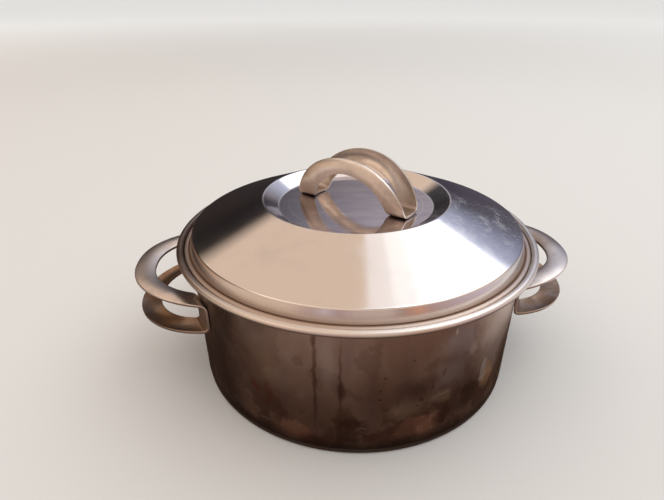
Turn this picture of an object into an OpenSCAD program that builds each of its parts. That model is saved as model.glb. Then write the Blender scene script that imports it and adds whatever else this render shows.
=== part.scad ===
// Stainless steel casserole with two folded side handles and a conical steel lid.
// Origin: centre of the base, on the surface it stands on. +X points at the right handle, +Z is up.

/* [Pot] */
// Outer radius of the wall just under the rim
pot_r = 120; // [100:1:150]
// Height from the standing surface to the top of the rim
pot_h = 104; // [90:1:150]
// How much narrower the wall is at its foot than under the rim
wall_taper = 1.6; // [0:0.1:4]
// Thickness of the drawn steel wall
wall_t = 0.8; // [0.6:0.1:1.5]
// Outer radius of the corner between wall and floor
corner_r = 2; // [2:0.5:12]

/* [Rim] */
// Outer radius of the rolled rim beyond the wall
rim_out = 9.5; // [8.5:0.1:12]
// Radius of the flare that leads from the wall to the seat of the lid
flare_r = 2.6; // [2:0.1:3.5]
// Depth of the lid's seat below the top of the rim
seat_drop = 5.2; // [4.6:0.1:6]
// Outer radius of the rolled bead's section
bead_r = 2.35; // [2:0.05:2.6]

/* [Base] */
// Thickness of the aluminium heat disc
disc_t = 4; // [3:0.5:8]
// Thickness of the steel cap under the disc
cap_t = 0.6; // [0.4:0.1:1]
// How far the cap's side lies inside the foot of the wall
cap_inset = 0.4; // [0:0.2:10]
// Outer radius of the cap's lower edge
cap_edge_r = 3; // [1:0.5:3]

/* [Lid] */
// Thickness of the lid's sheet
lid_t = 0.7; // [0.5:0.1:1.2]
// Height of the lid's shoulder above the top of the rim
shoulder_h = 7.4; // [5:0.2:12]
// How far the shoulder lies inside the pot's outer wall
shoulder_in = 1.8; // [0.5:0.1:6]
// Rounding radius of the shoulder
shoulder_r = 2.4; // [1.5:0.1:4]
// Radius of the edge of the sunken middle
recess_r = 67; // [60:0.5:80]
// Height of the sunken middle's edge above the top of the rim
recess_edge_h = 27.4; // [22:0.2:40]
// Depth of the sunken middle
recess_d = 6.9; // [4:0.1:10]
// Radius of the sunken middle's flat floor
recess_floor_r = 56; // [50:0.5:59]
// Rounding radius of the sunken middle's edges
recess_round = 2; // [1:0.1:2.5]
// Radius of the lid's rolled edge
hem_r = 1.85; // [1.5:0.05:2]
// Clearance between the lid's rolled edge and its seat
seat_gap = 0.3; // [0.2:0.05:0.5]

/* [Side handles] */
// Length of a side handle along the wall
side_len = 118; // [100:1:124]
// Length of a side handle's opening along the wall
side_hole_len = 84; // [70:1:90]
// How far a side handle reaches out from the wall
side_reach = 42.6; // [36:0.2:50]
// Width of a side handle's band at its outermost point
side_band = 14.4; // [10:0.2:18]
// Height of the flat foot between a side handle's two bands
side_web = 20; // [16:0.5:26]
// Angle by which each band leans away from the middle plane
side_splay = 5; // [0:0.5:15]
// Sheet thickness of a side handle
side_t = 2; // [1.4:0.1:2.6]
// Depth of a side handle's centre below the top of the rim
side_drop = 35; // [28:0.5:45]

/* [Lid handle] */
// Length of the lid handle along the floor of the sunken middle
knob_len = 92; // [80:1:98]
// Length of the lid handle's opening
knob_hole_len = 64; // [56:1:70]
// Height of the lid handle above the floor of the sunken middle
knob_h = 36.2; // [30:0.2:44]
// Width of the lid handle's band at its highest point
knob_band = 11.4; // [8:0.2:13]
// Width of the flat foot between the lid handle's two bands
knob_web = 18.2; // [14:0.2:22]
// Angle by which each arch of the lid handle leans outwards
knob_splay = 9; // [0:0.5:18]
// Sheet thickness of the lid handle
knob_t = 1.8; // [1.4:0.1:2.2]
// Direction of the lid handle, measured from +X
knob_turn = -40.5; // [-90:0.5:90]

/* [Welds] */
// Gap that the welds hold between a handle's foot and the sheet behind it
weld_gap = 0.4; // [0.3:0.05:0.6]
// Radius of one weld
weld_r = 2.2; // [1.5:0.1:2.6]

/* [Hidden] */
$fn = 120;

base_h = disc_t + cap_t;              // underside of the pot's floor
foot_r = pot_r - wall_taper;          // outer radius at the foot of the wall
cap_r = foot_r - cap_inset;           // outer radius of the base cap
rim_r = pot_r + rim_out;              // outermost radius of the rim
seat_z = pot_h - seat_drop;           // upper face of the lid's seat
bead_x = rim_r - bead_r;              // centre of the rim bead's section
bead_z = pot_h - bead_r;
hem_clear = 0.6;                      // gap between the lid's rolled edge and the rim bead
hem_x = bead_x - bead_r - hem_clear - hem_r; // centre of the lid's rolled edge
hem_z = seat_z + seat_gap + hem_r;
shoulder_x = pot_r - shoulder_in;
shoulder_z = pot_h + shoulder_h;
recess_z = pot_h + recess_edge_h - recess_d; // upper face of the sunken floor
side_z = pot_h - side_drop;
bend_r = 4;                           // middle radius of the fold in a handle's sheet
sheet_edge = 0.55;                    // rounding of a handle's sheet edges
weld_bite = 0.25;                     // how deep a weld runs into each sheet
side_weld_at = [0.81, 0.92];          // places of welds along a side handle, as shares of half its length
side_weld_z = 3.2;                    // their distance from the handle's middle plane
lid_weld_at = [0.82, 0.93];           // the same for the lid handle
lid_weld_y = 2.6;
lid_weld_r = min(weld_r, 1.6);

flare_z = seat_z - wall_t - flare_r;  // upper end of the straight wall
fold_r = 1.2;                         // outer radius of the fold between seat and bead
bead_end = -75;                       // direction in which the rim bead's sheet ends
hem_end = 120;                        // directions in which the hem's sheet starts and, mirrored, ends
hem_start = [hem_x, hem_z] + hem_r * [cos(hem_end), sin(hem_end)];
skirt_foot = [hem_x - hem_r + 0.05, hem_z + 0.3];
skirt_foot_r = 0.5;                   // rounding between the lid's skirt and its rolled edge

// Points of an arc, its ends included
function arc(c, r, a0, a1, n = 8) =
    [for (i = [0 : n]) let (a = a0 + (a1 - a0) * i / n) c + r * [cos(a), sin(a)]];

// A corner at c between stretches towards p and q, rounded by an arc that touches both
function rounded(p, c, q, r, n = 6) =
    let (u = (p - c) / norm(p - c), v = (q - c) / norm(q - c),
         half = acos(u * v) / 2, o = c + (u + v) / norm(u + v) * r / sin(half),
         a = c + u * r / tan(half) - o, b = c + v * r / tan(half) - o,
         turn = atan2(a[0] * b[1] - a[1] * b[0], a * b))
    arc(o, r, atan2(a[1], a[0]), atan2(a[1], a[0]) + turn, n);

// Left-hand unit normal of the line from p to q
function left_of(p, q) = let (d = q - p) [-d[1], d[0]] / norm(d);

// A line moved sideways by t to its left, with mitred corners
function beside(line, t) = [for (i = [0 : len(line) - 1])
    let (a = left_of(line[max(i - 1, 0)], line[max(i, 1)]),
         b = left_of(line[min(i, len(line) - 2)], line[min(i + 1, len(line) - 1)]),
         m = (a + b) / norm(a + b))
    line[i] + m * t / (m * a)];
function backwards(line) = [for (i = [len(line) - 1 : -1 : 0]) line[i]];

// Outline of a sheet of thickness t that lies to the left of a line
function sheet(line, t) = concat(line, backwards(beside(line, t)));

// Outside of the pot, from the middle of its floor to the end of its rolled bead
pot_line = concat(
    [[0, base_h]],
    arc([foot_r - corner_r, base_h + corner_r], corner_r, -90, 0),
    arc([pot_r + flare_r, flare_z], flare_r, 180, 90),
    arc([bead_x - bead_r + wall_t - fold_r, seat_z - wall_t + fold_r], fold_r, -90, 0, 4),
    arc([bead_x, bead_z], bead_r - wall_t, 180, bead_end, 16));

// Outside of the base cap
cap_line = concat(
    [[0, 0]],
    arc([cap_r - cap_edge_r, cap_edge_r], cap_edge_r, -90, 0),
    [[cap_r, base_h]]);

// Upper side of the lid, from its middle to the end of its rolled edge
lid_middle = [0, recess_z];
recess_foot = [recess_floor_r, recess_z];
recess_edge = [recess_r, pot_h + recess_edge_h];
shoulder = [shoulder_x, shoulder_z];
lid_line = concat(
    [lid_middle],
    rounded(lid_middle, recess_foot, recess_edge, recess_round),
    rounded(recess_foot, recess_edge, shoulder, recess_round),
    rounded(recess_edge, shoulder, skirt_foot, shoulder_r),
    rounded(shoulder, skirt_foot, hem_start, skirt_foot_r),
    arc([hem_x, hem_z], hem_r, hem_end, -hem_end, 16));

// Outer radius of the pot's wall at height z
function wall_at(z) =
    foot_r + wall_taper * (z - base_h - corner_r) / (flare_z - base_h - corner_r);

// A handle is an oval ring of sheet, folded along its long axis. Across that axis the ring's
// shape is followed by v, which is measured along the sheet from the middle of the foot.
// The powers are those of the superellipses that the ring and its opening follow when the sheet
// lies flat. A ring is a list of its measures, with these places in it:
LENGTH = 0;
HOLE = 1;
WEB = 2;
SPLAY = 3;
SHEET = 4;
CROWN = 5;
POWER = 6;
HOLE_POWER = 7;
REACH = 8;
HOLE_REACH = 9;
side_ring = [side_len, side_hole_len, side_web, side_splay, side_t, 1.6, 2.5, 2.45,
             side_reach - weld_gap, side_reach - weld_gap - side_band];
lid_ring = [knob_len, knob_hole_len, knob_web, knob_splay, knob_t, 2, 2, 1.9,
            knob_h - weld_gap, knob_h - weld_gap - knob_band];

// Half width of the flat foot, and the angle through which the sheet turns beside it
function fold_turn(ring) = 90 - ring[SPLAY];
function foot_half(ring) = ring[WEB] / 2 - bend_r * tan(fold_turn(ring) / 2);
function fold_end(ring) = foot_half(ring) + bend_r * fold_turn(ring) * PI / 180;

// Distance v along the sheet at which the ring stands out from its foot by the given reach
function along_sheet(ring, reach) =
    let (turn = fold_turn(ring), rise = reach - ring[SHEET] / 2 - bend_r * (1 - cos(turn)))
    fold_end(ring) + rise / sin(turn);

// Place on the folded sheet, as [out from the foot's middle plane, across the foot]
function folded(ring, v, h) =
    let (half = foot_half(ring), turn = fold_turn(ring),
         q = min(max(v - half, 0) / bend_r * 180 / PI, turn), rest = max(v - fold_end(ring), 0))
    [bend_r - (bend_r + h) * cos(q) + rest * sin(turn),
     min(v, half) + (bend_r + h) * sin(q) + rest * cos(turn)];

// Shares of the ring's width at which its sections lie: evenly spaced over the straight feet,
// then closer together towards the ends of its width, where the ring turns back
ring_q = let (straight = 0.36, crowding = 1.2, a0 = asin(pow(straight, crowding))) concat(
    [for (i = [0 : 7]) straight * i / 8],
    [for (i = [0 : 9]) pow(sin(a0 + (90 - a0) * i / 9), 1 / crowding)]);
crowned_q = 0.6; // share of the ring's width from which its band is fully crowned
ring_n = len(ring_q) - 1;
stations = concat(
    [for (i = [0 : ring_n - 1]) [ring_q[i], 1, 1]],
    [for (i = [ring_n : -1 : 1]) [ring_q[i], -1, 1]],
    [for (i = [0 : ring_n - 1]) [ring_q[i], -1, -1]],
    [for (i = [ring_n : -1 : 1]) [ring_q[i], 1, -1]]);

// Section of the sheet: points [distance from the opening's edge, height], w wide and t thick
function strip(w, t) = let (e = sheet_edge, c = e * (1 - cos(45)), n = 5) concat(
    [for (k = [0 : n]) [e + (w - 2 * e) * k / n, t / 2]],
    [[w - c, t / 2 - c], [w, t / 2 - e], [w, e - t / 2], [w - c, c - t / 2]],
    [for (k = [n : -1 : 0]) [e + (w - 2 * e) * k / n, -t / 2]],
    [[c, c - t / 2], [0, e - t / 2], [0, t / 2 - e], [c, t / 2 - c]]);

// Half length of a superellipse at a share q of its half width, as a share of its greatest
function superellipse(q, power) = pow(1 - pow(q, power), 1 / power);

// One section of the ring as points [out, along, across]
function ring_section(ring, place) =
    let (q = place[0],
         inner = [place[1] * ring[HOLE] / 2 * superellipse(q, ring[HOLE_POWER]),
                  q * along_sheet(ring, ring[HOLE_REACH])],
         outer = [place[1] * ring[LENGTH] / 2 * superellipse(q, ring[POWER]),
                  q * along_sheet(ring, ring[REACH])],
         w = norm(outer - inner), bow = ring[CROWN] * min(1, pow(q / crowned_q, 2)))
    [for (s = strip(w, ring[SHEET]))
        let (p = inner + (outer - inner) * s[0] / w,
             f = folded(ring, p[1], s[1] + bow * (1 - pow(2 * s[0] / w - 1, 2))))
        [f[0] + ring[SHEET] / 2, p[0], place[2] * f[1]]];

function ring_points(ring) = [for (place = stations) each ring_section(ring, place)];

// Two triangles for every patch of a closed tube of m sections with k points each; a section
// on the mirrored side runs the same way round, because only its sign across changes
function tube_faces(m, k) = [for (i = [0 : m - 1], j = [0 : k - 1])
    let (a = i * k + j, b = i * k + (j + 1) % k,
         c = ((i + 1) % m) * k + j, d = ((i + 1) % m) * k + (j + 1) % k)
    each [[a, b, d], [a, d, c]]];
ring_faces = tube_faces(len(stations), len(strip(10, 2)));

// Points of a side handle, its foot bent around the wall
function round_the_wall(pts) = [for (p = pts) let (z = side_z + p[2])
    [sqrt(pow(wall_at(z), 2) - p[1] * p[1]) + weld_gap + p[0], p[1], z]];

module side_handle() {
    polyhedron(round_the_wall(ring_points(side_ring)), ring_faces, convexity = 6);
}

// Four welds behind each end of a side handle's foot
module side_welds() {
    for (end = [-1, 1], place = side_weld_at, z = [-side_weld_z, side_weld_z])
        rotate([0, 0, end * asin(place * side_len / 2 / pot_r)])
            translate([wall_at(side_z + z) - weld_bite, 0, side_z + z])
                rotate([0, 90, 0])
                    cylinder(h = weld_gap + 2 * weld_bite, r = weld_r, $fn = 24);
}

module pot_shell() {
    color("#8d8781") rotate_extrude() polygon(sheet(pot_line, wall_t));
}

module base_disc() {
    color("#b9bcc0") rotate_extrude() polygon(concat(beside(cap_line, cap_t), [[0, base_h]]));
}

module base_cap() {
    color("#a7a39d") rotate_extrude() polygon(sheet(cap_line, cap_t));
}

module right_handle() {
    color("#b7aca0") side_handle();
}

module right_handle_welds() {
    color("#8a837b") side_welds();
}

module left_handle() {
    color("#b7aca0") rotate([0, 0, 180]) side_handle();
}

module left_handle_welds() {
    color("#8a837b") rotate([0, 0, 180]) side_welds();
}

module lid_shell() {
    color("#cfc9c2") rotate_extrude() polygon(sheet(lid_line, -lid_t));
}

module lid_handle() {
    color("#c4bbb0") rotate([0, 0, knob_turn]) translate([0, 0, recess_z + weld_gap])
        polyhedron([for (p = ring_points(lid_ring)) [p[1], p[2], p[0]]], ring_faces, convexity = 6);
}

// Four welds under each end of the lid handle's foot
module lid_handle_welds() {
    color("#8a837b") rotate([0, 0, knob_turn])
        for (end = [-1, 1], place = lid_weld_at, y = [-lid_weld_y, lid_weld_y])
            translate([end * place * knob_len / 2, y, recess_z - weld_bite])
                cylinder(h = weld_gap + 2 * weld_bite, r = lid_weld_r, $fn = 24);
}

pot_shell();
base_disc();
base_cap();
left_handle();
left_handle_welds();
right_handle();
right_handle_welds();
lid_shell();
lid_handle();
lid_handle_welds();
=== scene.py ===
"""Looks of a stainless steel casserole with a conical steel lid.

Outlines are in millimetres until a mesh is made, materials and the studio are in metres.
+Z is up and +X points at the right handle.
"""
import math

import bmesh
import bpy
from mathutils import Matrix, Vector


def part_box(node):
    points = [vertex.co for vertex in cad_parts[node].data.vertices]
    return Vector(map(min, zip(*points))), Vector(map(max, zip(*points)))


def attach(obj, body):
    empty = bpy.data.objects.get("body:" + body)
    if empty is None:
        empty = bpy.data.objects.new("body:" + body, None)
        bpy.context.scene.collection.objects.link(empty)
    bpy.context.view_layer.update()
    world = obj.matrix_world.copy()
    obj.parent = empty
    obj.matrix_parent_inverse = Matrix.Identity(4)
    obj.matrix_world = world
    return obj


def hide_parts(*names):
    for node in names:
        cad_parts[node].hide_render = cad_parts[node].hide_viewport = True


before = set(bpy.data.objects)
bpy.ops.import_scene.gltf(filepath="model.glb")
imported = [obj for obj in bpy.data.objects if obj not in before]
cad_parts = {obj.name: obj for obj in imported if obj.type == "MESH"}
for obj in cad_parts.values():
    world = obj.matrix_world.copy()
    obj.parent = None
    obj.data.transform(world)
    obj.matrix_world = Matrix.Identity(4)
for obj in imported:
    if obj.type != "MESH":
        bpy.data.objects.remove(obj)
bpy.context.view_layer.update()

MM = 0.001

# ---- sizes, from the frame where it has them -------------------------------------------------

RIM_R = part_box("pot_shell")[1].x / MM
POT_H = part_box("pot_shell")[1].z / MM
BASE_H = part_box("base_cap")[1].z / MM
RIM_OUT = 9.5                       # how far the rim stands out from the wall
WALL_R = RIM_R - RIM_OUT            # outer radius of the wall under the rim
FOOT_R = WALL_R - 1.6               # outer radius of the wall at its foot
WALL_T = 0.8                        # sheet thickness of the pot
CORNER_R = 2.0                      # outer radius of the corner between wall and floor
SEAT_Z = POT_H - 5.2                # upper face of the ledge on which the lid sits
FLARE_R = 2.6                       # radius of the bend from the wall to the ledge
FLARE_Z = SEAT_Z - WALL_T - FLARE_R
FOLD_R = 1.2                        # radius of the bend from the ledge to the rim bead
BEAD_R = 2.35                       # outer radius of the rim bead's section
CAP_R = FOOT_R - 0.4                # outer radius of the base cap
CAP_T = 0.6
CAP_EDGE_R = 3.0
LID_T = 0.7
HEM_R = 1.85                        # outer radius of the lid's rolled edge
HEM = (RIM_R - 2 * BEAD_R - HEM_R - 0.6, SEAT_Z + 0.3 + HEM_R)
SHOULDER = (WALL_R - 1.8, POT_H + 7.4)
RECESS_EDGE = (67.0, POT_H + 27.4)
RECESS_FLOOR = (56.0, RECESS_EDGE[1] - 6.9)
GROOVE_R = 48.5                     # radius of the fine groove in the lid's sunken middle
HANDLE_Z = POT_H - 35.0             # middle plane of the side handles
WELD_GAP = 0.4                      # gap behind the foot of a handle
BEND_R = 4.0                        # middle radius of the fold in a handle's sheet
SHEET_EDGE = 0.55                   # rounding of a handle's sheet edges
LID_HANDLE_TURN = math.radians(-40.5)
ACROSS_LID_HANDLE = (-math.sin(LID_HANDLE_TURN), math.cos(LID_HANDLE_TURN), 0.0)

# ---- outlines --------------------------------------------------------------------------------


def arc(centre, radius, start, end, count=12):
    """Points of an arc, its ends included; angles in degrees."""
    angles = [math.radians(start + (end - start) * i / count) for i in range(count + 1)]
    return [(centre[0] + radius * math.cos(a), centre[1] + radius * math.sin(a)) for a in angles]


def rounded(before, corner, after, radius, count=10):
    """A corner rounded by an arc that touches both of its sides."""
    p, c, q = Vector(before), Vector(corner), Vector(after)
    u, v = (p - c).normalized(), (q - c).normalized()
    half = u.angle(v) / 2
    centre = c + (u + v).normalized() * radius / math.sin(half)
    a = c + u * radius / math.tan(half) - centre
    b = c + v * radius / math.tan(half) - centre
    start = math.degrees(math.atan2(a.y, a.x))
    turn = math.degrees(math.atan2(a.x * b.y - a.y * b.x, a.dot(b)))
    return arc(centre, radius, start, start + turn, count)


def beside(line, t):
    """A line moved sideways by t to its left, with mitred corners."""
    points = [Vector(p) for p in line]
    moved = []
    for i, p in enumerate(points):
        before = points[max(i, 1)] - points[max(i, 1) - 1]
        after = points[min(i + 1, len(points) - 1)] - points[min(i, len(points) - 2)]
        a = Vector((-before.y, before.x)).normalized()
        b = Vector((-after.y, after.x)).normalized()
        m = (a + b).normalized()
        moved.append(tuple(p + m * t / m.dot(a)))
    return moved


def sheet(line, t):
    """Outline of a sheet of thickness t that lies to the left of a line."""
    return line + beside(line, t)[::-1]


def dense(line, step=5.0, margin=0.5):
    """The line with points added on its long straight stretches, two of them close to the ends."""
    full = [line[0]]
    for p, q in zip(line, line[1:]):
        p, q = Vector(p), Vector(q)
        length = (q - p).length
        if length > 4 * margin:
            count = max(1, round(length / step))
            inner = [i * length / count for i in range(1, count)]
            full += [tuple(p.lerp(q, s / length)) for s in [margin, *inner, length - margin]]
        full.append(tuple(q))
    return full


pot_line = (
    [(0, BASE_H)]
    + arc((FOOT_R - CORNER_R, BASE_H + CORNER_R), CORNER_R, -90, 0)
    + arc((WALL_R + FLARE_R, FLARE_Z), FLARE_R, 180, 90)
    + arc((RIM_R - 2 * BEAD_R + WALL_T - FOLD_R, SEAT_Z - WALL_T + FOLD_R), FOLD_R, -90, 0, 8)
    + arc((RIM_R - BEAD_R, POT_H - BEAD_R), BEAD_R - WALL_T, 180, -75, 32)
)
cap_line = (
    [(0, 0)]
    + arc((CAP_R - CAP_EDGE_R, CAP_EDGE_R), CAP_EDGE_R, -90, 0)
    + [(CAP_R, BASE_H)]
)
hem_start = arc(HEM, HEM_R, 120, -120)[0]
skirt_foot = (HEM[0] - HEM_R + 0.05, HEM[1] + 0.3)
lid_middle = (0, RECESS_FLOOR[1])
lid_line = (
    [lid_middle]
    + rounded(lid_middle, RECESS_FLOOR, RECESS_EDGE, 2.0)
    + rounded(RECESS_FLOOR, RECESS_EDGE, SHOULDER, 2.0)
    + rounded(RECESS_EDGE, SHOULDER, skirt_foot, 2.4)
    + rounded(SHOULDER, skirt_foot, hem_start, 0.5, 6)
    + arc(HEM, HEM_R, 120, -120, 28)
)

# ---- meshes ----------------------------------------------------------------------------------


def make_object(name, points, faces, body, slot, material):
    """A smooth shaded piece from points in millimetres, riding on a body."""
    mesh = bpy.data.meshes.new(name)
    mesh.from_pydata([Vector(p) * MM for p in points], [], faces)
    shape = bmesh.new()
    shape.from_mesh(mesh)
    bmesh.ops.recalc_face_normals(shape, faces=shape.faces)
    shape.to_mesh(mesh)
    shape.free()
    mesh.shade_smooth()
    mesh.set_sharp_from_angle(angle=math.radians(40))
    mesh.materials.append(material)
    piece = bpy.data.objects.new(name, mesh)
    bpy.context.scene.collection.objects.link(piece)
    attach(piece, body)
    return piece


def lathe(line, steps=256):
    """Points and faces of a line turned around Z; the line may start and end on the axis."""
    points, rows = [], []
    for r, z in line:
        count = 1 if r < 1e-6 else steps
        rows.append([len(points) + i % count for i in range(steps)])
        turns = [2 * math.pi * i / steps for i in range(count)]
        points += [(r * math.cos(a), r * math.sin(a), z) for a in turns]
    faces = []
    for low, high in zip(rows, rows[1:]):
        for i in range(steps):
            j = (i + 1) % steps
            loop = [low[i], low[j], high[j], high[i]]
            faces.append(list(dict.fromkeys(loop)))
    return points, faces


def ring_shares(bent=0.36, steps_at_fold=22, steps_to_tip=26, power=1.2):
    """Shares of a folded ring's reach at which its sections lie, closest at its fold and tip."""
    first = math.asin(bent ** power)
    shares = [bent * i / steps_at_fold for i in range(steps_at_fold)]
    for i in range(steps_to_tip + 1):
        turn = first + (math.pi / 2 - first) * i / steps_to_tip
        shares.append(min(1.0, math.sin(turn) ** (1 / power)))
    return shares


def strip(width, t, spans=14, corner=4):
    """Section of the sheet with round edges: points (distance from the opening, height)."""
    e = SHEET_EDGE
    flat = [e + (width - 2 * e) * k / spans for k in range(1, spans)]
    top = [(s, t / 2) for s in flat]
    outer = arc((width - e, t / 2 - e), e, 90, 0, corner)
    outer += arc((width - e, e - t / 2), e, 0, -90, corner)
    low = [(s, -t / 2) for s in reversed(flat)]
    inner = arc((e, e - t / 2), e, 270, 180, corner)
    inner += arc((e, t / 2 - e), e, 180, 90, corner)
    return top + outer + low + inner


def folded_ring(ring):
    """Points [out, along, across] and faces of an oval ring of sheet folded along its long axis."""
    turn = math.radians(90 - ring["splay"])
    half_foot = ring["web"] / 2 - BEND_R * math.tan(turn / 2)
    fold_end = half_foot + BEND_R * turn
    t = ring["t"]
    full_crown_at = 0.6

    def along_sheet(reach):
        return fold_end + (reach - t / 2 - BEND_R * (1 - math.cos(turn))) / math.sin(turn)

    def folded(v, h):
        q = min(max(v - half_foot, 0) / BEND_R, turn)
        rest = max(v - fold_end, 0)
        out = BEND_R - (BEND_R + h) * math.cos(q) + rest * math.sin(turn)
        across = min(v, half_foot) + (BEND_R + h) * math.sin(q) + rest * math.cos(turn)
        return out, across

    def superellipse(share, power):
        return max(0.0, 1 - share ** power) ** (1 / power)

    shares = ring_shares()
    stations = (
        [(q, 1, 1) for q in shares[:-1]]
        + [(q, -1, 1) for q in shares[:0:-1]]
        + [(q, -1, -1) for q in shares[:-1]]
        + [(q, 1, -1) for q in shares[:0:-1]]
    )
    points = []
    for q, side, leaf in stations:
        inner = Vector((side * ring["hole"] / 2 * superellipse(q, ring["hole_power"]),
                        q * along_sheet(ring["reach"] - ring["band"])))
        outer = Vector((side * ring["length"] / 2 * superellipse(q, ring["power"]),
                        q * along_sheet(ring["reach"])))
        width = (outer - inner).length
        bow = ring["crown"] * min(1, (q / full_crown_at) ** 2)
        for s, h in strip(width, t):
            u, v = inner.lerp(outer, s / width)
            out, across = folded(v, h + bow * (1 - (2 * s / width - 1) ** 2))
            points.append((out + t / 2, u, leaf * across))
    per = len(strip(ring["band"], t))
    count = len(stations)
    faces = []
    for i in range(count):
        for j in range(per):
            a, b = i * per, ((i + 1) % count) * per
            k = (j + 1) % per
            faces.append([a + j, a + k, b + k, b + j])
    return points, faces


# Lengths of ring and opening along the fold, width of the foot, lean of the bands in degrees, sheet
# thickness, crown of the bands, powers of the two ovals, reach, and width of the band at its tip
SIDE_RING = {"length": 118, "hole": 84, "web": 20, "splay": 5, "t": 2, "crown": 1.6, "power": 2.5,
             "hole_power": 2.45, "reach": 42.6 - WELD_GAP, "band": 14.4}
LID_RING = {"length": 92, "hole": 64, "web": 18.2, "splay": 9, "t": 1.8, "crown": 2, "power": 2,
            "hole_power": 1.9, "reach": 36.2 - WELD_GAP, "band": 11.4}


def wall_at(z):
    """Outer radius of the pot's wall at a height."""
    low, high = BASE_H + CORNER_R, FLARE_Z
    return FOOT_R + (WALL_R - FOOT_R) * (z - low) / (high - low)


def side_handle(turn):
    """A side handle with its foot bent around the wall, turned about Z."""
    points, faces = folded_ring(SIDE_RING)
    placed = []
    for out, along, across in points:
        z = HANDLE_Z + across
        x = math.sqrt(wall_at(z) ** 2 - along ** 2) + WELD_GAP + out
        placed.append((turn * x, turn * along, z))
    return placed, faces


def lid_handle():
    """The lid's handle, standing in the sunken middle of the lid."""
    points, faces = folded_ring(LID_RING)
    c, s = math.cos(LID_HANDLE_TURN), math.sin(LID_HANDLE_TURN)
    foot = RECESS_FLOOR[1] + WELD_GAP
    placed = [(along * c - across * s, along * s + across * c, foot + out)
              for out, along, across in points]
    return placed, faces


# ---- materials -------------------------------------------------------------------------------


class Graph:
    """A material's or a world's node tree, with short calls for the nodes used here."""

    def __init__(self, owner):
        owner.use_nodes = True
        self.tree = owner.node_tree
        self.tree.nodes.clear()

    def node(self, kind, inputs=None, **settings):
        made = self.tree.nodes.new(kind)
        for key, value in settings.items():
            setattr(made, key, value)
        for key, value in (inputs or {}).items():
            self.put(made.inputs[key], value)
        return made

    def put(self, socket, value):
        if isinstance(value, bpy.types.NodeSocket):
            self.tree.links.new(value, socket)
        else:
            socket.default_value = value

    def math(self, operation, a, b=0.0):
        return self.node("ShaderNodeMath", {0: a, 1: b}, operation=operation).outputs[0]

    def times(self, a, b):
        return self.math("MULTIPLY", a, b)

    def plus(self, a, b):
        return self.math("ADD", a, b)

    def most(self, a, b):
        return self.math("MAXIMUM", a, b)

    def vector(self, operation, a, b=(0, 0, 0)):
        made = self.node("ShaderNodeVectorMath", {0: a, 1: b}, operation=operation)
        return made.outputs["Value" if operation in ("LENGTH", "DOT_PRODUCT") else "Vector"]

    def distance(self, point, middle):
        return self.vector("LENGTH", self.vector("SUBTRACT", point, middle))

    def spread(self, value, low, high, to_low=0.0, to_high=1.0):
        """value mapped smoothly from [low, high] to [to_low, to_high]."""
        made = self.node("ShaderNodeMapRange", {0: value, 1: low, 2: high, 3: to_low, 4: to_high},
                         interpolation_type="SMOOTHSTEP")
        return made.outputs[0]

    def blend(self, share, a, b):
        """The value a where the share is 0, b where it is 1."""
        return self.node("ShaderNodeMix", {0: share, 2: a, 3: b}).outputs[0]

    def mix(self, share, a, b):
        """The colour a where the share is 0, b where it is 1."""
        made = self.node("ShaderNodeMix", data_type="RGBA")
        self.put(made.inputs[0], share)
        self.put(made.inputs[6], a)
        self.put(made.inputs[7], b)
        return made.outputs[2]

    def noise(self, vector, scale, detail=4.0, roughness=0.55):
        made = self.node("ShaderNodeTexNoise", {"Vector": vector, "Scale": scale, "Detail": detail,
                                                "Roughness": roughness})
        return made.outputs["Fac"]


def colour(r, g, b):
    """An opaque colour for a shader socket."""
    return (r, g, b, 1.0)


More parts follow.
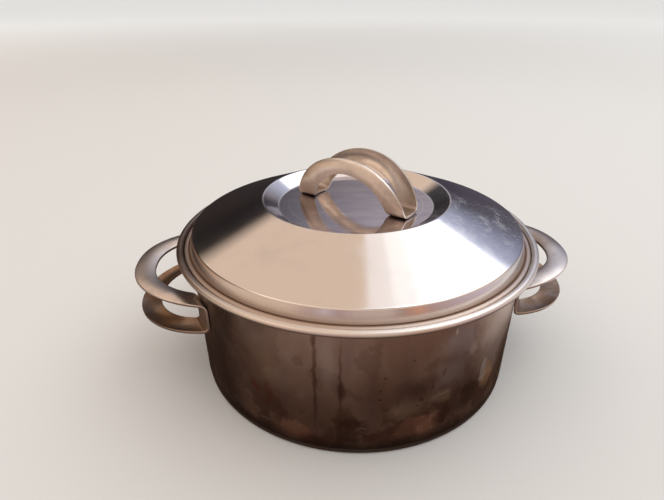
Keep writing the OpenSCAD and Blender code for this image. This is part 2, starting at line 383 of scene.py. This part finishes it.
class Steel(Graph):
    """A steel whose coordinates are known around the Z axis as well as in x, y, z."""

    def __init__(self, name):
        self.material = bpy.data.materials.new(name)
        super().__init__(self.material)
        self.point = self.node("ShaderNodeTexCoord").outputs["Object"]
        parts = self.node("ShaderNodeSeparateXYZ", {0: self.point}).outputs
        self.x, self.y, self.z = parts[0], parts[1], parts[2]
        self.turn = self.math("ARCTAN2", self.y, self.x)
        square = self.plus(self.times(self.x, self.x), self.times(self.y, self.y))
        self.radius = self.math("SQRT", square)
        self.outwards = self.vector("NORMALIZE", self.joined(self.x, self.y))

    def scaled(self, vector, factors):
        return self.vector("MULTIPLY", vector, factors)

    def joined(self, x, y, z=0.0):
        return self.node("ShaderNodeCombineXYZ", {0: x, 1: y, 2: z}).outputs[0]

    def wavered(self, place, scale, reach):
        """A place in millimetres moved about by up to half the reach, for uneven outlines."""
        noise = self.node("ShaderNodeTexNoise", {"Vector": self.point, "Scale": scale, "Detail": 5.0})
        shift = self.vector("SUBTRACT", noise.outputs["Color"], (0.5, 0.5, 0.5))
        return self.vector("ADD", place, self.scaled(shift, (reach, reach, 0.0)))

    def spot(self, place, middle, half_sizes, soft):
        """1 inside an oval around the middle, 0 outside, with a soft edge."""
        offset = self.vector("SUBTRACT", place, (*middle, 0.0))
        share = self.scaled(offset, (1 / half_sizes[0], 1 / half_sizes[1], 0.0))
        return self.spread(self.vector("LENGTH", share), 1 + soft, 1 - soft)

    def facing(self, direction):
        """1 on what faces a direction, 0 on what faces across it, -1 on what faces away."""
        normal = self.node("ShaderNodeNewGeometry").outputs["Normal"]
        return self.vector("DOT_PRODUCT", normal, direction)

    def scratches(self, angle, seed, length=0.006, width=0.0004, amount=0.69):
        """Fine straight scratches in one direction, seen from above: 1 on a scratch, else 0."""
        turned = self.node("ShaderNodeMapping", {"Vector": self.point, "Rotation": (0, 0, angle),
                                                 "Location": (seed, seed * 0.7, 0)}).outputs[0]
        long = self.scaled(turned, (1 / length, 1 / width, 1 / length))
        return self.spread(self.noise(long, 1.0, 1.0, 0.4), amount, amount + 0.05)

    def finish(self, base, rough, height, distance, metallic=1.0):
        """The material, with a relief of the given height at this distance in metres."""
        bump = self.node("ShaderNodeBump", {"Strength": 1.0, "Distance": distance, "Height": height})
        shader = self.node("ShaderNodeBsdfPrincipled", {
            "Base Color": base, "Metallic": metallic, "Roughness": rough, "Normal": bump.outputs[0]})
        out = self.node("ShaderNodeOutputMaterial")
        self.put(out.inputs[0], shader.outputs[0])
        return self.material


SCRATCHED = (0.090, -0.030, 0.125)  # middle of the most scratched part of the lid


def lid_steel():
    """Polished steel: smudges, fine scratches, a hazier sunken middle and painted shade along the
    crease above the rolled edge.
    """
    g = Steel("lid_steel")
    smudge = g.noise(g.point, 28.0, 5.0, 0.6)
    stain = g.noise(g.scaled(g.point, (30.0, 90.0, 30.0)), 1.0, 5.0, 0.65)
    worn = g.spread(g.distance(g.point, SCRATCHED), 0.055, 0.015)
    worn = g.plus(worn, g.spread(g.noise(g.point, 17.0, 2.0), 0.6, 0.7, 0.0, 0.5))
    smeared = g.times(worn, g.spread(g.noise(g.point, 75.0, 4.0, 0.7), 0.50, 0.62))
    scratched = g.scratches(0.6, 0.1)
    for angle, seed in ((-0.5, 0.4), (1.9, 0.9), (1.1, 1.7)):
        scratched = g.most(scratched, g.scratches(angle, seed))
    scratched = g.times(scratched, g.math("MINIMUM", worn, 1.0))
    middle = g.spread(g.radius, (RECESS_FLOOR[0] + 0.5) * MM, (RECESS_FLOOR[0] - 1.5) * MM)
    groove = g.spread(g.math("ABSOLUTE", g.math("SUBTRACT", g.radius, GROOVE_R * MM)), 0.0007, 0.0002)
    skirt = g.spread(g.radius, (SHOULDER[0] - 0.6) * MM, (SHOULDER[0] + 0.6) * MM)
    film = g.times(skirt, g.spread(g.z, (SHOULDER[1] - 2.0) * MM, (skirt_foot[1] + 1.0) * MM))
    crease_at = (skirt_foot[0] * MM, (skirt_foot[1] + 0.5) * MM, 0.0)
    # painted shade: a dark line along the crease between the skirt and the rolled edge
    crease = g.spread(g.distance(g.joined(g.radius, g.z), crease_at), 0.0014, 0.0006)
    middle_rough = g.spread(stain, 0.3, 0.7, 0.05, 0.15)
    rough = g.blend(middle, g.spread(smudge, 0.35, 0.75, 0.11, 0.15), middle_rough)
    for mask, added in ((smeared, 0.14), (film, 0.26), (scratched, 0.18), (crease, 0.3)):
        rough = g.plus(rough, g.times(mask, added))
    base = g.mix(g.spread(smudge, 0.5, 0.8), colour(0.80, 0.775, 0.75), colour(0.72, 0.70, 0.69))
    haze = g.times(middle, g.spread(stain, 0.3, 0.7, 0.4, 1.0))
    base = g.mix(haze, base, colour(0.54, 0.50, 0.55))
    base = g.mix(g.times(groove, 0.4), base, colour(0.85, 0.82, 0.80))
    base = g.mix(g.times(film, 0.9), base, colour(0.54, 0.44, 0.38))
    # painted shade in the crease, a dark brown
    base = g.mix(g.times(crease, 0.85), base, colour(0.16, 0.09, 0.05))
    height = g.times(g.noise(g.point, 9.0, 1.0), 0.25)
    height = g.math("SUBTRACT", height, g.times(scratched, 0.02))
    return g.finish(base, rough, height, 0.0004)


# Tints of stained steel
BURNT = (0.135, 0.070, 0.050)
RUST = (0.36, 0.145, 0.085)
SCORCHED = (0.36, 0.10, 0.05)
DRIP = (0.19, 0.105, 0.075)
SOOT = (0.08, 0.055, 0.045)
PALE = (0.62, 0.55, 0.50)
BLUISH = (0.40, 0.37, 0.41)
TAN = (0.46, 0.32, 0.20)

# Marks on the pot's wall: azimuth in degrees, height, half width and half height in
# millimetres, softness of the edge, strength and tint; most are stains, some are painted shade
# and one is a painted highlight
STAINS_AND_PAINTED_LIGHT = (
    (-123, 62, 12, 16, 0.9, 0.35, TAN),
    (-130, 42, 5, 6, 0.7, 0.60, SCORCHED),
    (-124, 38, 3, 6, 0.8, 0.45, SCORCHED),
    (-126, 84, 12, 12, 0.9, 0.35, PALE),
    # painted shade: two dark bands on the left side of the wall
    (-146, 38, 18, 60, 0.8, 0.80, SOOT),
    (-160, 26, 18, 30, 0.6, 0.90, SOOT),
    (-116, 16, 13, 9, 0.5, 0.60, RUST),
    (-110, 9, 10, 5, 0.6, 0.60, SCORCHED),
    (-99, 20, 15, 10, 0.3, 0.60, BURNT),
    (-105, 10, 14, 7, 0.5, 0.60, BURNT),
    (-88, 13, 9, 8, 0.5, 0.45, RUST),
    (-80, 51, 9, 9, 0.7, 0.40, SOOT),
    (-67, 57, 13, 12, 0.6, 0.38, BLUISH),
    (-65, 80, 11, 13, 0.6, 0.50, BLUISH),
    (-60, 68, 4, 8, 0.5, 0.45, PALE),
    # painted highlight: a near-white matt patch where the right of the wall shows a bright reflection
    (-47, 82, 22, 26, 0.9, 0.90, (0.90, 0.81, 0.74)),
    (-48, 52, 9, 14, 0.7, 0.50, PALE),
    (-50, 34, 8, 10, 0.5, 0.80, (0.56, 0.33, 0.17)),
    (-37, 34, 9, 18, 0.6, 0.60, SOOT),
    (-53, 43, 4, 9, 0.3, 0.65, PALE),
    (-59, 30, 9, 12, 0.3, 0.65, BURNT),
    (-70, 41, 8, 5, 0.6, 0.40, TAN),
    (-82, 37, 13, 9, 0.8, 0.45, TAN),
    (-78, 20, 18, 9, 0.5, 0.75, RUST),
    (-67, 22, 9, 10, 0.5, 0.50, BURNT),
)
DRIPS = (
    (-108.7, 61, 1.1, 33, 0.6, 0.70, DRIP),
    (-108.9, 90, 1.5, 4, 0.5, 0.60, DRIP),
    (-101.5, 60, 0.9, 27, 0.6, 0.55, DRIP),
    (-101.2, 54, 2.4, 6, 0.6, 0.70, BURNT),
    (-105, 74, 5, 16, 0.7, 0.35, PALE),
    (-126, 16, 6, 0.7, 0.5, 0.60, PALE),
    (-68, 88, 1.2, 2.2, 0.4, 0.80, PALE),
    (-71, 59, 0.9, 3.0, 0.6, 0.55, DRIP),
    (-74, 51, 0.9, 3.0, 0.6, 0.60, DRIP),
    (-77.5, 43, 1.6, 2.2, 0.6, 0.65, DRIP),
    (-70, 42, 4.5, 0.8, 0.5, 0.50, PALE),
    (-83, 30, 5, 0.6, 0.5, 0.40, PALE),
    (-95, 24, 4, 0.7, 0.5, 0.35, PALE),
)
SPECKS = tuple((azimuth, height, 1.0, 0.6, 0.6, 0.7, SOOT) for azimuth, height in (
    (-81, 74), (-89, 64), (-90, 53.5), (-90.5, 47), (-79, 38)))
SHADED_RIM_SIDE = (-0.996, 0.087, 0.0)    # direction in which the rim bead is dark brown with painted shade


def pot_steel():
    """Heat stained steel with a paler rim: brown towards the foot, with drips and blots."""
    g = Steel("pot_steel")
    place = g.joined(g.times(g.turn, WALL_R), g.math("DIVIDE", g.z, MM))
    loose = g.wavered(place, 60.0, 22.0)
    tight = g.wavered(place, 120.0, 5.0)
    blot = g.noise(g.scaled(g.point, (1.0, 1.0, 0.6)), 42.0, 6.0, 0.62)
    cloud = g.noise(g.scaled(g.point, (1.0, 1.0, 0.45)), 20.0, 3.0, 0.5)
    tide = g.noise(g.scaled(g.point, (1.0, 1.0, 0.8)), 34.0, 5.0, 0.6)
    streak = g.noise(g.scaled(g.point, (60.0, 60.0, 9.0)), 1.0, 3.0, 0.5)
    grain = g.noise(g.scaled(g.point, (6.0, 6.0, 1500.0)), 1.0, 2.0)
    low = g.spread(g.z, 0.046, 0.014)
    inside = g.spread(g.facing(g.outwards), 0.3, 0.0)
    rim = g.spread(g.z, FLARE_Z * MM, (FLARE_Z + 3.0) * MM)

    # heat tints and clouds, browner downwards
    base = g.mix(g.spread(g.z, 0.020, 0.088), colour(0.50, 0.375, 0.305), colour(0.60, 0.525, 0.48))
    base = g.mix(g.spread(streak, 0.50, 0.70, 0.0, 0.4), base, colour(*BLUISH))
    base = g.mix(g.spread(cloud, 0.42, 0.62, 0.0, 0.6), base, colour(0.33, 0.22, 0.17))
    base = g.mix(g.spread(blot, 0.56, 0.70, 0.0, 0.5), base, colour(*PALE))
    base = g.mix(g.spread(tide, 0.52, 0.535, 0.0, 0.28), base, colour(0.22, 0.15, 0.12))
    base = g.mix(g.times(low, 0.5), base, colour(0.36, 0.21, 0.15))

    # single marks; the paler ones are a matt film on the steel, and one of them is a painted
    # highlight; the dark ones on the left are painted shade
    matt = g.times(low, 0.3)
    for moved, marks in ((loose, STAINS_AND_PAINTED_LIGHT), (tight, DRIPS), (tight, SPECKS)):
        for azimuth, height, wide, high, soft, strength, tint in marks:
            mask = g.spot(moved, (math.radians(azimuth) * WALL_R, height), (wide, high), soft)
            mask = g.times(mask, strength)
            base = g.mix(mask, base, colour(*tint))
            if tint not in (BURNT, SCORCHED, DRIP, SOOT):
                matt = g.most(matt, mask)

    # burnt patches with pale edges, and the charred foot
    singed = g.times(low, g.spread(tide, 0.50, 0.57))
    base = g.mix(g.times(singed, 0.5), base, colour(*BURNT))
    edge = g.times(g.spread(tide, 0.482, 0.492), g.spread(tide, 0.505, 0.495))
    base = g.mix(g.times(g.times(edge, low), 0.45), base, colour(0.55, 0.40, 0.30))
    charred = g.spread(g.plus(g.z, g.times(blot, 0.012)), 0.022, 0.012)
    base = g.mix(g.times(charred, 0.8), base, colour(*SOOT))

    # the inside, and the rim with painted shade on its one dark side
    cooked = g.mix(g.spread(cloud, 0.35, 0.65), colour(0.62, 0.58, 0.55), colour(0.50, 0.45, 0.41))
    cooked = g.mix(g.spread(tide, 0.50, 0.56, 0.0, 0.3), cooked, colour(0.42, 0.33, 0.27))
    base = g.mix(inside, base, cooked)
    rim_shade = g.spread(g.vector("DOT_PRODUCT", g.outwards, SHADED_RIM_SIDE), 0.60, 1.0)
    base = g.mix(rim, base, g.mix(rim_shade, colour(0.78, 0.74, 0.70), colour(0.22, 0.165, 0.14)))

    rough = g.plus(g.spread(blot, 0.3, 0.7, 0.24, 0.36), g.times(matt, 0.1))
    rough = g.blend(rim, rough, g.spread(blot, 0.3, 0.7, 0.30, 0.40))
    bare = g.most(g.most(inside, rim), g.math("SUBTRACT", 1.0, matt))
    metallic = g.spread(bare, 0.0, 1.0, 0.82, 1.0)
    return g.finish(base, rough, g.times(grain, 0.006), 0.0004, metallic)


HANDLE_SHADE_MIDDLE = (0.152, 0.016, 0.083)     # middle of a painted shade on the far part of the right handle


def side_handle_shade(g):
    """Painted shade: 1 on a spot of the right handle's far part, less on the feet of a side handle
    close to the wall, 0 elsewhere.
    """
    shade_spot = g.spread(g.distance(g.point, HANDLE_SHADE_MIDDLE), 0.032, 0.014)
    return g.most(g.spread(g.radius, 0.146, 0.124, 0.0, 0.4), shade_spot)


def lid_handle_shade(g):
    """Painted shade: 1 on the feet of the lid's handle, less on its farther arch."""
    far_arch = g.spread(g.vector("DOT_PRODUCT", g.point, ACROSS_LID_HANDLE), 0.0, 0.008, 0.0, 0.6)
    return g.most(g.spread(g.z, 0.153, 0.130), far_arch)


def handle_steel(name, tone, browned_under, painted_shade_of):
    """Satin steel of the handles, browned by heat on what faces up below a height in metres, with
    painted shade from the last argument.
    """
    g = Steel(name)
    smudge = g.noise(g.point, 45.0, 4.0, 0.6)
    mottle = g.noise(g.point, 160.0, 3.0, 0.6)
    grain = g.noise(g.scaled(g.point, (300.0, 300.0, 2500.0)), 1.0, 2.0)
    base = g.mix(g.spread(smudge, 0.35, 0.70), colour(*tone), colour(*[0.82 * c for c in tone]))
    base = g.mix(g.spread(mottle, 0.55, 0.75, 0.0, 0.3), base, colour(0.46, 0.36, 0.29))
    facing_up = g.spread(g.facing((0.0, 0.0, 1.0)), 0.2, 0.6)
    brown = g.times(facing_up, g.spread(g.z, browned_under, browned_under - 0.003))
    brown = g.times(brown, g.spread(smudge, 0.3, 0.6, 0.6, 0.95))
    base = g.mix(brown, base, colour(0.32, 0.19, 0.10))
    # painted shade: a darker brown where the given mask is 1
    handle_shade = g.times(painted_shade_of(g), g.spread(smudge, 0.3, 0.6, 0.4, 0.75))
    base = g.mix(handle_shade, base, colour(0.30, 0.225, 0.18))
    rough = g.spread(smudge, 0.3, 0.7, 0.27, 0.38)
    return g.finish(base, rough, g.times(grain, 0.006), 0.0003)


def plain_steel(name, tone, low, high):
    """A duller steel or aluminium with mottled roughness."""
    g = Steel(name)
    mottle = g.noise(g.point, 90.0, 4.0, 0.6)
    base = g.mix(g.spread(mottle, 0.3, 0.7), colour(*tone), colour(*[0.7 * c for c in tone]))
    return g.finish(base, g.spread(mottle, 0.3, 0.7, low, high), mottle, 0.0001)


# ---- pieces ----------------------------------------------------------------------------------

pot_mesh = lathe(dense(sheet(pot_line, WALL_T)))
pot_piece = make_object("pot_shell_drawn", *pot_mesh, "pot", "pot_steel", pot_steel())
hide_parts("pot_shell")
cap_mesh = lathe(dense(sheet(cap_line, CAP_T)))
cap_material = plain_steel("base_steel", (0.42, 0.35, 0.31), 0.28, 0.45)
cap_piece = make_object("base_cap_pressed", *cap_mesh, "pot", "base_steel", cap_material)
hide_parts("base_cap")
lid_mesh = lathe(dense(sheet(lid_line, -LID_T)))
lid_piece = make_object("lid_shell_drawn", *lid_mesh, "lid", "lid_steel", lid_steel())
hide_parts("lid_shell")
side_material = handle_steel("handle_steel", (0.79, 0.73, 0.685), (HANDLE_Z - 4) * MM, side_handle_shade)
for side, turn in (("right", 1), ("left", -1)):
    name = f"{side}_handle"
    piece = make_object(f"{name}_folded", *side_handle(turn), "pot", "handle_steel", side_material)
    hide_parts(name)
knob_material = handle_steel("lid_handle_steel", (0.90, 0.84, 0.775), 0.0, lid_handle_shade)
knob_piece = make_object("lid_handle_folded", *lid_handle(), "lid", "lid_handle_steel", knob_material)
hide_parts("lid_handle")

weld_material = plain_steel("weld_steel", (0.40, 0.36, 0.33), 0.35, 0.55)
for node, material in (("base_disc", plain_steel("base_aluminium", (0.66, 0.67, 0.69), 0.35, 0.5)),
                       ("left_handle_welds", weld_material), ("right_handle_welds", weld_material),
                       ("lid_handle_welds", weld_material)):
    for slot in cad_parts[node].material_slots:
        slot.material = material

# ---- camera ----------------------------------------------------------------------------------

CAMERA_DISTANCE = 0.3748            # from the middle of the rim
CAMERA_ELEVATION = math.radians(25.04)
CAMERA_AZIMUTH = math.radians(-98.1)
CAMERA_ANGLES = (62.39, 0.273, -5.293)
CAMERA_LENS = 27.11

rim_middle = Vector((0, 0, POT_H * MM))
camera = bpy.data.objects.new("camera", bpy.data.cameras.new("camera"))
bpy.context.scene.collection.objects.link(camera)
camera.location = rim_middle + CAMERA_DISTANCE * Vector((
    math.cos(CAMERA_ELEVATION) * math.cos(CAMERA_AZIMUTH),
    math.cos(CAMERA_ELEVATION) * math.sin(CAMERA_AZIMUTH),
    math.sin(CAMERA_ELEVATION)))
camera.rotation_euler = [math.radians(a) for a in CAMERA_ANGLES]
camera.data.lens = CAMERA_LENS
camera.data.clip_start = 0.01
bpy.context.scene.camera = camera

# ---- studio ----------------------------------------------------------------------------------

STUDIO_TURN = math.radians(-8.1)    # the studio is square to the camera, not to the handles
PANEL_H = 2.0                       # height of the light panels above the rim
WARM = (1.0, 0.76, 0.60)
WARM_RADIANCE = 0.80


def light_panel(name, x0, x1, y0, y1, tint, radiance):
    """A flat soft light over the pot; its sides are given as shares of its height above the rim."""
    data = bpy.data.lights.new(name, "AREA")
    data.shape = "RECTANGLE"
    data.size = (x1 - x0) * PANEL_H
    data.size_y = (y1 - y0) * PANEL_H
    data.energy = radiance * math.pi * data.size * data.size_y
    data.color = tint
    lamp = bpy.data.objects.new(name, data)
    bpy.context.scene.collection.objects.link(lamp)
    middle = Vector(((x0 + x1) / 2 * PANEL_H, (y0 + y1) / 2 * PANEL_H, POT_H * MM + PANEL_H))
    lamp.matrix_world = Matrix.Rotation(STUDIO_TURN, 4, "Z") @ Matrix.Translation(middle)


light_panel("warm_panel", -2.2, 0.07, -1.3, 1.04, WARM, WARM_RADIANCE)
for step in range(3):
    near_side = 1.04 + 0.11 * step
    faded = WARM_RADIANCE * (0.7 - 0.25 * step)
    light_panel(f"warm_edge_{step}", -2.2, 0.07, near_side, near_side + 0.11, WARM, faded)
light_panel("soft_panel", 0.07, 0.21, -1.0, 1.06, (1.0, 0.90, 0.87), 1.08)
light_panel("bright_panel", 0.21, 0.36, -0.9, 1.06, (1.0, 0.95, 0.93), 1.30)
light_panel("white_panel", 0.36, 1.5, -0.8, 1.06, (0.98, 0.99, 1.0), 1.65)


def towards(azimuth, elevation):
    """Unit vector of a direction in the studio; angles in degrees, -90 is the camera's side."""
    a, e = math.radians(azimuth), math.radians(elevation)
    flat = Vector((math.cos(e) * math.cos(a), math.cos(e) * math.sin(a), math.sin(e)))
    return tuple(Matrix.Rotation(STUDIO_TURN, 3, "Z") @ flat)


# What polished metal sees around it at eye level: azimuth in the studio and colour
SURROUNDINGS = (
    (-180, (0.50, 0.33, 0.24)), (-164, (0.70, 0.52, 0.40)), (-128, (0.72, 0.52, 0.40)),
    (-112, (0.52, 0.36, 0.32)), (-106, (0.64, 0.52, 0.52)), (-99, (0.46, 0.31, 0.29)),
    (-90, (0.56, 0.42, 0.37)), (-70, (0.60, 0.46, 0.40)), (-63, (0.42, 0.28, 0.24)),
    (-55, (0.70, 0.34, 0.22)), (-46, (0.50, 0.35, 0.32)), (-16, (0.63, 0.52, 0.58)),
    (15, (0.79, 0.72, 0.68)), (40, (0.33, 0.29, 0.35)), (58, (0.12, 0.11, 0.14)),
    (72, (0.06, 0.05, 0.07)), (104, (0.028, 0.022, 0.023)), (124, (0.030, 0.020, 0.019)),
    (142, (0.11, 0.06, 0.04)), (166, (0.35, 0.20, 0.13)),
)


def horizon(g, direction):
    """Colour of the surroundings at eye level."""
    parts = g.node("ShaderNodeSeparateXYZ", {0: direction}).outputs
    angle = g.math("SUBTRACT", g.math("ARCTAN2", parts[1], parts[0]), STUDIO_TURN)
    turns = g.math("DIVIDE", angle, 2 * math.pi)
    ramp = g.node("ShaderNodeValToRGB", {0: g.math("FRACT", g.plus(turns, 0.5))})
    stops = ramp.color_ramp.elements
    stops[0].color = stops[1].color = colour(*SURROUNDINGS[0][1])
    for azimuth, tone in SURROUNDINGS[1:]:
        stops.new(azimuth / 360 + 0.5).color = colour(*tone)
    return ramp.outputs[0]


def glow(g, direction, middle, narrowness):
    """1 in the middle of a patch of light, falling off smoothly around it."""
    return g.math("POWER", g.most(g.vector("DOT_PRODUCT", direction, middle), 0.0), narrowness)


def studio_floor():
    """A plain pale floor; polished metal sees a painted reflection on it instead, which glows: dark
    close to the pot, with a bright patch.
    """
    material = bpy.data.materials.new("floor")
    g = Graph(material)
    point = g.node("ShaderNodeTexCoord").outputs["Object"]
    away = g.vector("LENGTH", point)
    # painted reflection for polished metal: dark browns close to the pot, lighter to the right
    rightwards = g.spread(g.vector("DOT_PRODUCT", point, towards(0, 0)), -0.20, -0.13)
    wide = g.mix(rightwards, colour(0.07, 0.045, 0.037), colour(0.29, 0.18, 0.14))
    near = g.mix(g.spread(away, 0.13, 0.27), colour(0.06, 0.035, 0.025), wide)
    # painted reflection of a bright patch of light on the floor
    patch = g.spread(g.distance(point, [0.33 * c for c in towards(22, 0)]), 0.18, 0.10)
    near = g.mix(patch, near, colour(1.0, 0.95, 0.92))
    painted_reflection = g.mix(g.spread(away, 0.25, 0.42), near, horizon(g, point))
    mirrored = g.node("ShaderNodeLightPath").outputs["Is Glossy Ray"]
    pale = g.mix(g.spread(away, 1.4, 5.5), colour(0.52, 0.52, 0.515), colour(0.92, 0.92, 0.92))
    matt = g.node("ShaderNodeBsdfDiffuse", {"Color": pale})
    # the floor glows with this painted reflection for glossy rays only, though it is no lamp
    glowing_mirror_image = g.node("ShaderNodeEmission", {"Color": painted_reflection})
    both = g.node("ShaderNodeMixShader", {0: mirrored, 1: matt.outputs[0], 2: glowing_mirror_image.outputs[0]})
    out = g.node("ShaderNodeOutputMaterial")
    g.put(out.inputs[0], both.outputs[0])
    mesh = bpy.data.meshes.new("floor")
    half = 20.0
    corners = [(-half, -half, 0), (half, -half, 0), (half, half, 0), (-half, half, 0)]
    mesh.from_pydata(corners, [], [(0, 1, 2, 3)])
    mesh.materials.append(material)
    floor = bpy.data.objects.new("floor", mesh)
    bpy.context.scene.collection.objects.link(floor)


def studio_world():
    """Pale surroundings for the eye and the floor, a dim room for the metal's reflections."""
    world = bpy.data.worlds.new("studio")
    bpy.context.scene.world = world
    g = Graph(world)
    direction = g.node("ShaderNodeTexCoord").outputs["Generated"]
    height = g.node("ShaderNodeSeparateXYZ", {0: direction}).outputs[2]
    front = g.spread(g.vector("DOT_PRODUCT", direction, towards(-65, 0)), -0.35, 0.20)
    high = g.mix(front, colour(0.014, 0.011, 0.011), colour(0.75, 0.58, 0.46))
    high = g.mix(glow(g, direction, towards(50, 38), 14.0), high, colour(0.46, 0.49, 0.70))
    high = g.mix(glow(g, direction, towards(84, 24), 60.0), high, colour(0.36, 0.29, 0.28))
    high = g.mix(glow(g, direction, towards(82, 42), 24.0), high, colour(0.80, 0.83, 1.0))
    room = g.mix(g.spread(height, 0.08, 0.34), horizon(g, direction), high)
    room = g.mix(g.spread(height, 0.60, 0.75), room, colour(0.0, 0.0, 0.0))
    mirrored = g.node("ShaderNodeLightPath").outputs["Is Glossy Ray"]
    tone = g.mix(mirrored, colour(0.82, 0.81, 0.79), room)
    shader = g.node("ShaderNodeBackground", {"Color": tone, "Strength": 1.0})
    out = g.node("ShaderNodeOutputWorld")
    g.put(out.inputs[0], shader.outputs[0])


studio_floor()
studio_world()
bpy.context.scene.view_settings.view_transform = "Standard"
